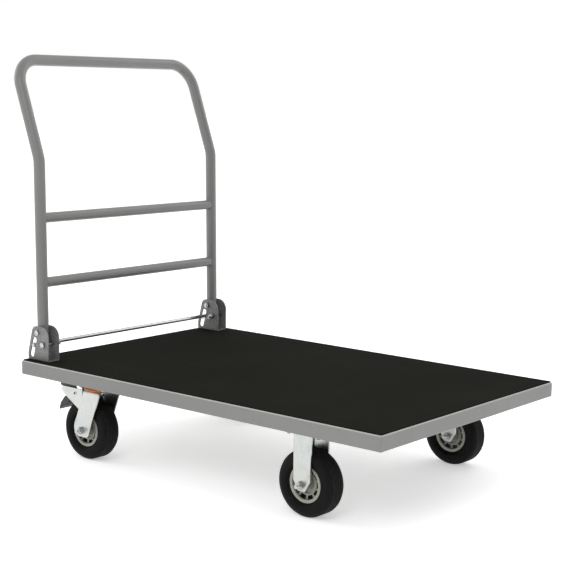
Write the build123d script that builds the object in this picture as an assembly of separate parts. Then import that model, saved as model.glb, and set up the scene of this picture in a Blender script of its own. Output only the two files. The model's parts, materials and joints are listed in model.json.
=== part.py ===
from build123d import *
import math
import os

# Flatbed platform truck. Millimetres, +Z up, the floor at z = 0.
# +X runs from the handle end (rear) to the front, +Y to the left of the person behind the handle.
# The origin is at the floor, in the middle of the whole truck's length and width.

# ---- deck ----
deck_length = 1100.0
deck_width = 700.0
edge_height = 35.0
sheet_thickness = 2.0
rail_flange = 25.0
fold_radius = 3.0           # outside radius of the folded rails
weld_gap = 0.1              # between welded pieces
mat_thickness = 2.5
mat_inset = 2.0
mat_corner_radius = 3.0
mat_notch_clearance = 1.0

# ---- cross channels that carry the casters, and stiffeners ----
channel_thickness = 3.0
channel_width = 112.0
stiffener_width = 40.0
stiffener_height = 25.0
stiffener_offset = 115.0    # from the middle of the deck

# ---- handle ----
tube_radius = 14.0
tube_wall = 1.5
leg_inset = 39.5            # middle of a leg, from the deck's side edge
leg_lean = 1.3              # degrees from upright, towards the rear
kink_height = 500.0         # above the deck
push_bar_height = 742.0     # above the deck
push_bar_setback = 63.0     # behind the deck's rear edge
kink_radius = 70.0
bar_corner_radius = 68.0
leg_foot_gap = 0.5          # between a leg's foot and the foot rod
rung_radius = 12.5
rung_heights = {"upper": 355.5, "lower": 194.8}

# ---- handle brackets ----
pivot_setback = 36.0        # pivot, from the deck's rear edge
pivot_height = 71.0         # above the deck
bracket_length = 75.0
bracket_height = 87.0
leg_play = 1.0              # between a leg and each cheek of its bracket
bracket_thickness = 3.0
bracket_back = 20.0         # height of the upright part of the rear edge
bracket_slope = 17.0        # how far the rear edge runs forward above that
bracket_back_radius = 10.0
bracket_nose_radius = 28.0
bracket_top_radius = 16.0
bracket_fold_radius = 4.5
slot_width = 14.0
slot_top = (24.0, 52.0)     # centre of the slot's upper end: from the rear edge, above the deck
slot_bottom = (14.0, 15.0)
pivot_bolt_radius = 4.0
pivot_bush_radius = 6.0
bush_end_clearance = 0.25
running_clearance = 0.06
stop_bolt_radius = 4.0
stop_bolt_drop = 29.0       # below the pivot
stop_clearance = 1.5        # from the leg to the stop bolt
screw_radius = 4.0
screw_setbacks = (42.0, 60.0)
hole_clearance = 0.5
thread_overrun = 9.0        # bolt length past what it holds, which includes the nut
stop_bolt_overrun = 19.0    # this end also carries the release spring

# ---- foot rod ----
rod_radius = 5.0
rod_rest = 0.378            # share of the slot from its top at which the rod rests
rod_overhang = 2.0
clip_radius = 7.0
clip_thickness = 1.0
clip_clearance = 0.2
spring_coil_radius = 7.0
spring_wire = 1.8
spring_width = 6.0
spring_clearance = 0.3

# ---- casters ----
wheel_radius = 74.0
wheel_headroom = 44.0       # top of the wheel to the face that the caster is bolted to
tyre_width = 55.0
rim_radius = 42.0
rim_width = 42.0
hub_radius = 15.0
hub_width = 56.0
bearing_radius = 11.0
bearing_width = 8.0
seat_gap = 0.05             # between pieces seated in each other
axle_radius = 5.0
window_count = 10
plate_length = 100.0
plate_width = 85.0
plate_thickness = 3.0
plate_hole_spacing = (80.0, 60.0)
plate_bolt_radius = 4.0
fork_width = 72.0
fork_thickness = 3.0
front_axle_setback = 226.0  # from the front edge
rear_pivot_setback = 220.0  # swivel axis, from the rear edge
caster_inset = 64.0         # middle of the caster, from the side edge
trail = 34.0
leg_width = 47.0
leg_lip = 7.0
leg_foot_width = 20.0
leg_foot_drop = 15.0        # axle to the foot of a fork leg
leg_taper_rise = 9.0        # axle to where a fixed fork's leg starts to narrow
crown_drop = 11.0           # face of the top plate to the top of a swivel fork
crown_radius = 8.0
kingpin_radius = 6.0
kingpin_head_radius = 11.0
ring_radius = 41.5
ring_height = 6.0
ring_bore = 24.0
raceway_radius = 30.0
swivel_clearance = 0.3
gusset_inside = 30.0        # wheel's middle to the inner face of a brake side plate
brake_setback = 0.3446      # axle to brake pin, backwards, as a share of the wheel's radius
brake_rise = 1.2027         # axle to brake pin, upwards, as a share of the wheel's radius
brake_pin_radius = 4.0
brake_arm_inside = 26.0
brake_arm_thickness = 2.5
brake_plate_rise = 18.0     # brake pin to the top of the tread plate
brake_pin_bore = 2.6
brake_rivet_radius = 5.2
brake_rivet_height = 1.0

# ---- hexagons: across flats, height of the head, height of the nut ----
hex_m8 = (13.0, 5.3, 6.5)
hex_m10 = (16.0, 6.4, 8.0)

# ---- places that follow from the sizes above ----
overall_length = deck_length + push_bar_setback + tube_radius
front_x = overall_length / 2
rear_x = front_x - deck_length
deck_middle = (front_x + rear_x) / 2
half_width = deck_width / 2
edge_bottom = 2 * wheel_radius + wheel_headroom
deck_top = edge_bottom + edge_height
sheet_bottom = deck_top - sheet_thickness
leg_y = half_width - leg_inset
axle_z = wheel_radius
plate_bottom = edge_bottom - plate_thickness
crown_top = plate_bottom - crown_drop
caster_y = half_width - caster_inset
front_caster_x = front_x - front_axle_setback
rear_caster_x = rear_x + rear_pivot_setback
lean = math.radians(leg_lean)
pivot_x = rear_x + pivot_setback
pivot_z = deck_top + pivot_height
leg_up = Vector(-math.sin(lean), 0, math.cos(lean))
leg_across = Vector(math.cos(lean), 0, math.sin(lean))
bracket_half = tube_radius + leg_play
cheek_outside = bracket_half + bracket_thickness
stop_reach = tube_radius + stop_clearance + stop_bolt_radius
stop_centre = Vector(pivot_x, 0, pivot_z) - leg_up * stop_bolt_drop + leg_across * stop_reach
rod_x = rear_x + slot_top[0] + (slot_bottom[0] - slot_top[0]) * rod_rest
rod_z = deck_top + slot_top[1] + (slot_bottom[1] - slot_top[1]) * rod_rest
brake_x = -trail - wheel_radius * brake_setback
brake_z = axle_z + wheel_radius * brake_rise
leg_below_pivot = (pivot_z - rod_z - rod_radius - leg_foot_gap) / math.cos(lean)

sides = {"left": 1, "right": -1}


# ---- small building blocks ----
def block(x_low, x_high, y_low, y_high, z_low, z_high):
    size = Box(x_high - x_low, y_high - y_low, z_high - z_low)
    return Pos((x_low + x_high) / 2, (y_low + y_high) / 2, (z_low + z_high) / 2) * size


def round_z(radius, x, y, z_low, z_high):
    return Pos(x, y, (z_low + z_high) / 2) * Cylinder(radius, z_high - z_low)


def round_y(radius, x, z, y_low, y_high):
    return Pos(x, (y_low + y_high) / 2, z) * Rot(90, 0, 0) * Cylinder(radius, y_high - y_low)


def outline(points, radii):
    """Closed outline with a rounding at each point."""
    return make_face(FilletPolyline(*points, radius=radii, close=True))


def upright(face, y_low, y_high):
    """Raise a face drawn in (x, z) into a plate between two values of y."""
    return Pos(0, y_high, 0) * Rot(90, 0, 0) * extrude(face, y_high - y_low)


def both_cheeks(face, inside, thickness):
    """The same upright plate on both sides of the middle plane."""
    return [upright(face, inside, inside + thickness), upright(face, -inside - thickness, -inside)]


def hexagon(across_flats, height):
    """Hexagon from z = 0 up, with its upper corners bevelled."""
    prism = extrude(RegularPolygon(across_flats / 2, 6, major_radius=False), height)
    turned = Pos(0, 0, height / 2) * Cylinder(across_flats * 0.575, height)
    bevelled = chamfer(turned.edges().sort_by(Axis.Z)[-1], across_flats * 0.06)
    return prism & bevelled


def fastener(radius, hex_size, length):
    """Hex bolt: head above z = 0, shank below it."""
    return hexagon(hex_size[0], hex_size[1]) + round_z(radius, 0, 0, -length, 0)


def nut(radius, hex_size):
    """Hex nut from z = 0 up, threaded on a bolt of the given radius."""
    height = hex_size[2]
    return hexagon(hex_size[0], height) - round_z(radius + seat_gap, 0, 0, -1, height + 1)


def group(solids):
    return Compound(children=list(solids))


parts = {}


# ---- deck frame ----
def edge_rail(length):
    """Folded channel along X. Its web faces -Y at y = 0 and its ends are mitred."""
    middle = edge_bottom + edge_height / 2
    outer = Pos(rail_flange / 2, middle) * Rectangle(rail_flange, edge_height)
    outer = fillet(outer.vertices().group_by(Axis.X)[0], fold_radius)
    inner_height = edge_height - 2 * sheet_thickness
    inner = Pos(sheet_thickness + rail_flange / 2, middle) * Rectangle(rail_flange, inner_height)
    inner = fillet(inner.vertices().group_by(Axis.X)[0], fold_radius - sheet_thickness)
    section = Plane.YZ * (outer - inner)
    bar = Pos(-length / 2, 0, 0) * extrude(section, length)
    far = length / 2 - weld_gap
    near = far - rail_flange
    mitre = make_face(Polyline((-far, 0), (far, 0), (near, rail_flange), (-near, rail_flange), close=True))
    return bar & (Pos(0, 0, edge_bottom) * extrude(mitre, edge_height))


side_rail = edge_rail(deck_length)
end_rail = edge_rail(deck_width)
parts["side_rail_right"] = Pos(deck_middle, -half_width, 0) * side_rail
parts["side_rail_left"] = Pos(deck_middle, half_width, 0) * Rot(0, 0, 180) * side_rail
parts["end_rail_front"] = Pos(front_x, 0, 0) * Rot(0, 0, 90) * end_rail
parts["end_rail_rear"] = Pos(rear_x, 0, 0) * Rot(0, 0, -90) * end_rail

frame_inset = rail_flange + weld_gap
sheet_y = half_width - frame_inset
deck_sheet = block(rear_x + frame_inset, front_x - frame_inset, -sheet_y, sheet_y, sheet_bottom, deck_top)
for setback in screw_setbacks:
    for side in sides.values():
        deck_sheet -= round_z(screw_radius + hole_clearance, rear_x + setback, side * leg_y,
                              sheet_bottom - 1, deck_top + 1)
parts["deck_sheet"] = deck_sheet


def channel(width, height, thickness, length):
    """Open-topped channel along X, resting on z = 0, its flanges up."""
    section = Pos(0, height / 2) * Rectangle(width, height)
    hollow = Pos(0, height / 2 + thickness) * Rectangle(width - 2 * thickness, height)
    return Pos(-length / 2, 0, 0) * extrude(Plane.YZ * (section - hollow), length)


hole_x = plate_hole_spacing[0] / 2
hole_y = plate_hole_spacing[1] / 2
plate_holes = [(dx, dy) for dx in (-hole_x, hole_x) for dy in (-hole_y, hole_y)]
casters = {}
for name, caster_x in (("front", front_caster_x), ("rear", rear_caster_x)):
    bar = channel(channel_width, sheet_bottom - edge_bottom, channel_thickness, 2 * sheet_y)
    cross = Pos(caster_x, 0, edge_bottom) * Rot(0, 0, 90) * bar
    for side in sides.values():
        for dx, dy in plate_holes:
            cross -= round_z(plate_bolt_radius + hole_clearance, caster_x + dx, side * caster_y + dy,
                             edge_bottom - 1, edge_bottom + channel_thickness + 1)
    parts["caster_rail_" + name] = cross

stiffener_start = rear_caster_x + channel_width / 2 + weld_gap
stiffener_end = front_caster_x - channel_width / 2 - weld_gap
stiffener = channel(stiffener_width, stiffener_height, sheet_thickness, stiffener_end - stiffener_start)
stiffener_middle = (stiffener_start + stiffener_end) / 2
parts["stiffeners"] = group(
    Pos(stiffener_middle, side * stiffener_offset, sheet_bottom - stiffener_height) * stiffener
    for side in sides.values())

# ---- mat, cut out around the brackets ----
mat_length = deck_length - 2 * mat_inset
mat_face = RectangleRounded(mat_length, deck_width - 2 * mat_inset, mat_corner_radius)
deck_mat = Pos(deck_middle, 0, deck_top) * extrude(mat_face, mat_thickness)
notch_half = cheek_outside + mat_notch_clearance
for side in sides.values():
    deck_mat -= block(rear_x, rear_x + bracket_length + mat_notch_clearance,
                      side * leg_y - notch_half, side * leg_y + notch_half,
                      deck_top - 1, deck_top + mat_thickness + 1)
parts["deck_mat"] = deck_mat


# ---- handle ----
def leg_point(height_above_deck):
    """Point on a leg's centreline, in the plane y = 0."""
    climb = (height_above_deck - pivot_height) / math.cos(lean)
    return Vector(pivot_x, 0, pivot_z) + leg_up * climb


leg_foot = Vector(pivot_x, 0, pivot_z) - leg_up * leg_below_pivot
kink = leg_point(kink_height)
bar_x = rear_x - push_bar_setback
bar_z = deck_top + push_bar_height
handle_path = FilletPolyline(
    (leg_foot.X, leg_y, leg_foot.Z),
    (kink.X, leg_y, kink.Z),
    (bar_x, leg_y, bar_z),
    (bar_x, -leg_y, bar_z),
    (kink.X, -leg_y, kink.Z),
    (leg_foot.X, -leg_y, leg_foot.Z),
    radius=(kink_radius, bar_corner_radius, bar_corner_radius, kink_radius))


def along_handle(radius):
    start = Plane(origin=handle_path @ 0, z_dir=handle_path % 0)
    return sweep(start * Circle(radius), path=handle_path)


handle_tube = along_handle(tube_radius) - along_handle(tube_radius - tube_wall)
bush_hole = pivot_bush_radius + seat_gap
for side in sides.values():
    handle_tube -= round_y(bush_hole, pivot_x, pivot_z, side * leg_y - cheek_outside,
                           side * leg_y + cheek_outside)
parts["handle_tube"] = handle_tube

leg_length = (kink - leg_foot).length
leg_slug_radius = tube_radius + seat_gap
leg_tilt = Plane(origin=leg_foot, z_dir=leg_up)
leg_slugs = [Pos(0, side * leg_y, 0) * extrude(leg_tilt * Circle(leg_slug_radius), leg_length)
             for side in sides.values()]
for name, height in rung_heights.items():
    centre = leg_point(height)
    rung = round_y(rung_radius, centre.X, centre.Z, -leg_y, leg_y)
    rung -= round_y(rung_radius - tube_wall, centre.X, centre.Z, -leg_y, leg_y)
    for slug in leg_slugs:
        rung -= slug
    parts["handle_rung_" + name] = rung.solids().sort_by(SortBy.VOLUME)[-1]

bush_half = bracket_half - bush_end_clearance
bush_bore = pivot_bolt_radius + running_clearance
parts["pivot_bushes"] = group(
    round_y(pivot_bush_radius, pivot_x, pivot_z, side * leg_y - bush_half, side * leg_y + bush_half)
    - round_y(bush_bore, pivot_x, pivot_z, side * leg_y - bush_half, side * leg_y + bush_half)
    for side in sides.values())


# ---- handle brackets ----
def handle_bracket():
    """U-shaped bracket with its middle plane at y = 0."""
    cheek = outline(
        [(0, 0), (0, bracket_back), (bracket_slope, bracket_height), (bracket_length, bracket_height),
         (bracket_length, 0)],
        [0, bracket_back_radius, bracket_top_radius, bracket_nose_radius, 0])
    cheek = Pos(rear_x, deck_top) * cheek
    shell = upright(cheek, -cheek_outside, cheek_outside)
    folds = shell.edges().filter_by(Axis.X).group_by(Axis.Z)[0]
    shell = fillet(folds, bracket_fold_radius)
    hollow = block(rear_x - 1, rear_x + bracket_length + 1, -bracket_half, bracket_half,
                   deck_top + bracket_thickness, deck_top + 2 * bracket_height)
    inner_folds = hollow.edges().filter_by(Axis.X).group_by(Axis.Z)[0]
    shell -= fillet(inner_folds, bracket_fold_radius - bracket_thickness)
    slot_x = rear_x + (slot_top[0] + slot_bottom[0]) / 2
    slot_z = deck_top + (slot_top[1] + slot_bottom[1]) / 2
    run = math.dist(slot_top, slot_bottom)
    tilt = math.degrees(math.atan2(slot_top[1] - slot_bottom[1], slot_top[0] - slot_bottom[0]))
    slot = Pos(slot_x, slot_z) * Rot(0, 0, tilt) * SlotCenterToCenter(run, slot_width)
    shell -= upright(slot, -cheek_outside - 1, cheek_outside + 1)
    shell -= round_y(pivot_bolt_radius + seat_gap, pivot_x, pivot_z, -cheek_outside - 1, cheek_outside + 1)
    shell -= round_y(stop_bolt_radius + seat_gap, stop_centre.X, stop_centre.Z,
                     -cheek_outside - 1, cheek_outside + 1)
    for setback in screw_setbacks:
        shell -= round_z(screw_radius + hole_clearance, rear_x + setback, 0,
                         deck_top - 1, deck_top + bracket_thickness + 1)
    return shell


bracket = handle_bracket()
for name, side in sides.items():
    parts["handle_bracket_" + name] = Pos(0, side * leg_y, 0) * bracket

screw_grip = bracket_thickness + sheet_thickness
screw_nut = nut(screw_radius, hex_m8)
bracket_screw = fastener(screw_radius, hex_m8, screw_grip + thread_overrun)
screw_spots = [(rear_x + setback, side * leg_y) for setback in screw_setbacks for side in sides.values()]
parts["bracket_screws"] = group(
    Pos(x, y, deck_top + bracket_thickness) * bracket_screw for x, y in screw_spots)
parts["bracket_nuts"] = group(
    Pos(x, y, sheet_bottom) * Rot(180, 0, 0) * screw_nut for x, y in screw_spots)


def across(side, x, z, y_from_leg, piece):
    """Put a piece built along +Z on a bracket, with +Z turned outwards."""
    return Pos(x, side * (leg_y + y_from_leg), z) * Rot(-90 * side, 0, 0) * piece


bracket_width = 2 * cheek_outside
pivot_bolt = fastener(pivot_bolt_radius, hex_m8, bracket_width + thread_overrun)
stop_bolt = fastener(stop_bolt_radius, hex_m8, bracket_width + stop_bolt_overrun)
pivot_nut = nut(pivot_bolt_radius, hex_m8)
stop_nut = nut(stop_bolt_radius, hex_m8)
parts["pivot_bolts"] = group(
    across(side, pivot_x, pivot_z, cheek_outside, pivot_bolt) for side in sides.values())
parts["pivot_nuts"] = group(
    across(side, pivot_x, pivot_z, -cheek_outside, Rot(180, 0, 0) * pivot_nut) for side in sides.values())
parts["stop_bolts"] = group(
    across(side, stop_centre.X, stop_centre.Z, cheek_outside, stop_bolt) for side in sides.values())
parts["stop_nuts"] = group(
    across(side, stop_centre.X, stop_centre.Z, -cheek_outside, Rot(180, 0, 0) * stop_nut)
    for side in sides.values())

# ---- foot rod, its clips and springs ----
rod_end = leg_y + cheek_outside + rod_overhang
release_rod = round_y(rod_radius, rod_x, rod_z, -rod_end, rod_end)
parts["release_rod"] = chamfer(release_rod.edges().filter_by(GeomType.CIRCLE), 0.8)
clip_outer = bracket_half - clip_clearance
clip = round_z(clip_radius, 0, 0, -clip_thickness, 0) - round_z(rod_radius + seat_gap, 0, 0, -5, 5)
parts["release_rod_clips"] = group(
    across(side, rod_x, rod_z, clip_outer, clip) for side in sides.values())


def release_spring():
    """Wound spring around the stop bolt's inner end, with one long leg that reaches under the rod."""
    bore = stop_bolt_radius + spring_clearance
    coil = round_z(spring_coil_radius, 0, 0, 0, spring_width) - round_z(bore, 0, 0, -1, spring_width + 1)
    reach = math.dist((rod_x, rod_z), (stop_centre.X, stop_centre.Z))
    height = spring_wire / 2
    offset = rod_radius + spring_clearance + spring_wire / 2
    arm = Pos(-reach / 2, -offset, height) * Rot(0, 90, 0) * Cylinder(spring_wire / 2, reach)
    arm -= round_z(bore, 0, 0, -1, spring_width + 1)
    return coil + arm


spring_seat = cheek_outside + hex_m8[2] + spring_clearance
rod_angle = math.degrees(math.atan2(stop_centre.Z - rod_z, stop_centre.X - rod_x))
springs = []
for side in sides.values():
    lying = Rot(90, 0, 0) * release_spring()
    turned = Rot(0, -rod_angle, 0) * lying
    low_face = side * (leg_y - spring_seat) + (0 if side > 0 else spring_width)
    springs.append(Pos(stop_centre.X, low_face, stop_centre.Z) * turned)
parts["release_springs"] = group(springs)


# ---- wheels: every piece is built about the wheel's own centre, with the axle along Y ----
def turn_about_axle(points, arcs):
    """Revolve an outline of (y, radius) points about the axle; arcs name points to round."""
    face = make_face(FilletPolyline(*points, radius=arcs, close=True))
    return Rot(0, 0, 90) * revolve(face, Axis.X, 360)


def tyre_body():
    """Cushion tyre with flat side walls, a shoulder step and two tread grooves."""
    half = tyre_width / 2
    bead = rim_width / 2 - 1
    inner = rim_radius + seat_gap
    outer = wheel_radius
    points = [(-bead, inner), (-bead, inner + 3), (-half, inner + 8), (-half, outer - 14),
              (-half + 7, outer - 2.5), (half - 7, outer - 2.5), (half, outer - 14),
              (half, inner + 8), (bead, inner + 3), (bead, inner)]
    body = turn_about_axle(points, [0, 2, 4, 9, 7, 7, 9, 4, 2, 0])
    crown = turn_about_axle([(-half + 9, outer - 5), (-half + 9, outer), (half - 9, outer),
                             (half - 9, outer - 5)], [0, 4, 4, 0])
    body += crown
    for groove in (-8.0, 0.0, 8.0):
        band = turn_about_axle([(groove - 0.8, outer - 1.2), (groove - 0.8, outer + 2),
                                (groove + 0.8, outer + 2), (groove + 0.8, outer - 1.2)], [0, 0, 0, 0])
        body -= band
    return body


def rim_body():
    """Moulded rim: flanged ring, ten windows, a raised inner ring and a hub."""
    half = rim_width / 2
    web = 13.0
    ring_in = rim_radius - 6.5
    points = [(-half, ring_in), (-half, rim_radius), (half, rim_radius), (half, ring_in),
              (web, ring_in - 1), (web, 26), (web + 2, 25.5), (web + 2, 22.5), (web - 4, 22),
              (web - 4, hub_radius), (hub_width / 2, hub_radius), (hub_width / 2, bearing_radius),
              (-hub_width / 2, bearing_radius), (-hub_width / 2, hub_radius), (4 - web, hub_radius),
              (4 - web, 22), (-web - 2, 22.5), (-web - 2, 25.5), (-web, 26), (-web, ring_in - 1)]
    rim = turn_about_axle(points, [0] * len(points))
    window_low = 26.5
    window_high = ring_in - 0.5
    half_angle = 180.0 / window_count - 5.0
    ring = Circle(window_high) - Circle(window_low)
    spread = math.tan(math.radians(half_angle)) * wheel_radius
    wedge = make_face(Polyline((0, 0), (wheel_radius, spread), (wheel_radius, -spread), close=True))
    window = upright(ring & wedge, -rim_width, rim_width)
    for index in range(window_count):
        rim -= Rot(0, 360.0 * index / window_count, 0) * window
    return rim


def bearing_pair():
    seat = hub_width / 2
    rings = []
    for low in (-seat, seat - bearing_width):
        ring = round_y(bearing_radius - seat_gap, 0, 0, low, low + bearing_width)
        rings.append(ring - round_y(axle_radius + running_clearance, 0, 0, low - 1, low + bearing_width + 1))
    return group(rings)


tyre = tyre_body()
rim = rim_body()
bearings = bearing_pair()
rear_wheel_x = rear_caster_x - trail
for end, wheel_x in (("front", front_caster_x), ("rear", rear_wheel_x)):
    for name, side in sides.items():
        hub = Pos(wheel_x, side * caster_y, axle_z)
        parts["tyre_" + end + "_" + name] = hub * tyre
        parts["rim_" + end + "_" + name] = hub * rim
        parts["bearings_" + end + "_" + name] = hub * bearings

# ---- axle bolts: the head on the left of each fork, the nut on the right ----
fork_half = fork_width / 2
axle_bolt = fastener(axle_radius, hex_m10, fork_width + hex_m10[2] + thread_overrun)
axle_nut = nut(axle_radius, hex_m10)


def axle_pieces(x, y):
    bolt = Pos(x, y + fork_half, axle_z) * Rot(-90, 0, 0) * axle_bolt
    end_nut = Pos(x, y - fork_half, axle_z) * Rot(90, 0, 0) * axle_nut
    return bolt, end_nut


front_axles = [axle_pieces(front_caster_x, side * caster_y) for side in sides.values()]
parts["axle_bolts_front"] = group(bolt for bolt, end_nut in front_axles)
parts["axle_nuts_front"] = group(end_nut for bolt, end_nut in front_axles)
for name, side in sides.items():
    bolt, end_nut = axle_pieces(rear_wheel_x, side * caster_y)
    parts["axle_bolt_rear_" + name] = bolt
    parts["axle_nut_rear_" + name] = end_nut


# ---- caster forks, built about x = 0, y = 0 ----
def top_plate():
    face = RectangleRounded(plate_length, plate_width, 6.0)
    plate = Pos(0, 0, plate_bottom) * extrude(face, plate_thickness)
    for dx, dy in plate_holes:
        plate -= round_z(plate_bolt_radius + hole_clearance, dx, dy, plate_bottom - 1, edge_bottom + 1)
    return plate


def front_fork():
    """Fixed fork: a plate and two pressed legs with turned-in edges."""
    foot = axle_z - leg_foot_drop
    taper = axle_z + leg_taper_rise
    half = leg_width / 2
    toe = leg_foot_width / 2
    leg_face = outline([(-half, edge_bottom), (half, edge_bottom), (half, taper), (toe, foot),
                        (-toe, foot), (-half, taper)], [0, 0, 10, 5, 5, 10])
    hollow_face = offset(leg_face, -fork_thickness, kind=Kind.INTERSECTION)
    leg = upright(leg_face, -leg_lip, 0)
    outer_edges = leg.faces().sort_by(Axis.Y)[0].edges()
    pressed = outer_edges.filter_by(lambda edge: edge.center().Z < edge_bottom - 1)
    leg = fillet(pressed, leg_lip - 2)
    leg -= upright(hollow_face, fork_thickness - leg_lip, 1)
    fork = top_plate()
    fork += Pos(0, leg_lip - fork_half, 0) * leg
    fork += Rot(0, 0, 180) * Pos(0, leg_lip - fork_half, 0) * leg
    return fork - round_y(axle_radius + seat_gap, 0, axle_z, -fork_width, fork_width)


def rear_fork():
    """Swivel fork: crown, two slanted legs and the side plates of the brake."""
    foot = axle_z - leg_foot_drop
    leg_face = outline([(11 - trail, crown_top), (67 - trail, crown_top), (36 - trail, axle_z + 22),
                        (24 - trail, foot), (-14 - trail, foot), (-27 - trail, axle_z + 4)],
                       [4, 10, 60, 12, 14, 20])
    crown = block(-plate_length, plate_length, -fork_half, fork_half, 0, crown_top)
    shoulders = crown.faces().sort_by(Axis.Z)[-1].edges().filter_by(Axis.X)
    crown = fillet(shoulders, crown_radius)
    fork = crown & upright(leg_face, -fork_half, fork_half)
    inside = fork_half - fork_thickness
    hollow = block(-plate_length, plate_length, -inside, inside, 0, crown_top - fork_thickness)
    hollow_top = hollow.faces().sort_by(Axis.Z)[-1].edges().filter_by(Axis.X)
    fork -= fillet(hollow_top, crown_radius - fork_thickness)
    side_face = outline([(25.5, 12.5), (-44.5, 12.5), (-48.5, 3), (-35, -9), (16, -39), (35.5, -33),
                         (33, -14), (25.5, -9)], [1, 4, 4, 6, 3, 0, 0, 2])
    side_face = Pos(brake_x, brake_z) * side_face
    for plate in both_cheeks(side_face, gusset_inside, inside - gusset_inside):
        fork += plate
    fork -= round_y(brake_pin_radius + seat_gap, brake_x, brake_z, -fork_width, fork_width)
    fork -= round_z(kingpin_radius + seat_gap, 0, 0, crown_top - 20, crown_top + 1)
    return fork - round_y(axle_radius + seat_gap, -trail, axle_z, -fork_width, fork_width)


def swivel_plate():
    """Top plate of a swivel caster with the fixed half of its raceway."""
    low = crown_top + ring_height + swivel_clearance
    height = plate_bottom - low
    raceway = Pos(0, 0, low + height / 2) * Cone(raceway_radius, raceway_radius + 3, height)
    pin_hole = round_z(kingpin_radius + running_clearance, 0, 0, low - 1, edge_bottom + 1)
    return top_plate() + raceway - pin_hole


def dust_ring():
    ring = round_z(ring_radius, 0, 0, crown_top, crown_top + ring_height)
    ring = fillet(ring.edges().sort_by(Axis.Z)[-1], 2.5)
    return ring - round_z(ring_bore, 0, 0, crown_top - 1, crown_top + ring_height + 1)


def kingpin():
    shank_top = edge_bottom - 1.0
    head_top = crown_top - fork_thickness
    head = round_z(kingpin_head_radius, 0, 0, head_top - 7, head_top)
    head = fillet(head.edges().sort_by(Axis.Z)[0], 3.0)
    return head + round_z(kingpin_radius, 0, 0, head_top - 1, shank_top)


# ---- foot brake: outlines about the brake pin, put in place from the swivel axis ----
def brake_lever():
    """Two arms on the brake pin, joined by the tread plate."""
    top = brake_plate_rise
    back = -56.5
    arm = outline([(8.5, 5), (-3.5, top), (back, top), (back, top - 5), (-41.5, 8), (-37.5, -13.5),
                   (-21.5, -13.5), (-6.5, -8), (5.5, -9)], [6, 2, 1, 1, 4, 0, 0, 6, 6])
    lever = block(back, -4.5, -brake_arm_inside - 1, brake_arm_inside + 1, top - brake_arm_thickness, top)
    for cheek in both_cheeks(arm, brake_arm_inside, brake_arm_thickness):
        lever += cheek
    lever -= round_y(brake_pin_radius + running_clearance, 0, 0, -fork_width, fork_width)
    return Pos(brake_x, 0, brake_z) * lever


def brake_pedal():
    """Moulded foot pad across the lower ends of the lever's arms."""
    face = outline([(-41, -13.6), (-20.5, -13.6), (-27, -24), (-44.5, -39.5), (-63, -52), (-57, -32)],
                   [4, 2, 6, 8, 1.5, 14])
    half = brake_arm_inside + brake_arm_thickness
    pad = upright(face, -half, half)
    ends = pad.faces().sort_by(Axis.Y)
    return Pos(brake_x, 0, brake_z) * fillet(ends[0].edges() + ends[-1].edges(), 0.8)


def brake_pin():
    reach = fork_half - fork_thickness
    pin = round_y(brake_pin_radius, brake_x, brake_z, -reach, reach)
    for low in (-reach - brake_rivet_height, reach):
        pin += round_y(brake_rivet_radius, brake_x, brake_z, low, low + brake_rivet_height)
    return pin - round_y(brake_pin_bore, brake_x, brake_z, -fork_width, fork_width)


swivel_pieces = {
    "swivel_plate": swivel_plate(),
    "fork_rear": rear_fork(),
    "dust_ring": dust_ring(),
    "kingpin": kingpin(),
    "brake_lever": brake_lever(),
    "brake_pedal": brake_pedal(),
    "brake_pin": brake_pin(),
}
fixed_fork = front_fork()
for name, side in sides.items():
    parts["fork_front_" + name] = Pos(front_caster_x, side * caster_y, 0) * fixed_fork
    for piece_name, piece in swivel_pieces.items():
        parts[piece_name + "_" + name] = Pos(rear_caster_x, side * caster_y, 0) * piece

# ---- caster bolts, dropped through from inside the cross channels ----
caster_bolt = fastener(plate_bolt_radius, hex_m8, channel_thickness + plate_thickness + thread_overrun)
caster_nut = nut(plate_bolt_radius, hex_m8)
bolt_spots = [(caster_x + dx, side * caster_y + dy)
              for caster_x in (front_caster_x, rear_caster_x)
              for side in sides.values()
              for dx, dy in plate_holes]
parts["caster_bolts"] = group(
    Pos(x, y, edge_bottom + channel_thickness) * caster_bolt for x, y in bolt_spots)
parts["caster_nuts"] = group(
    Pos(x, y, plate_bottom) * Rot(180, 0, 0) * caster_nut for x, y in bolt_spots)

os.makedirs("parts", exist_ok=True)
for name, shape in parts.items():
    export_step(shape, "parts/" + name + ".step")
print(len(parts), "nodes")
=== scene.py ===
import bmesh
import bpy
import json
import math
import random
from mathutils import Matrix, Vector


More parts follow.
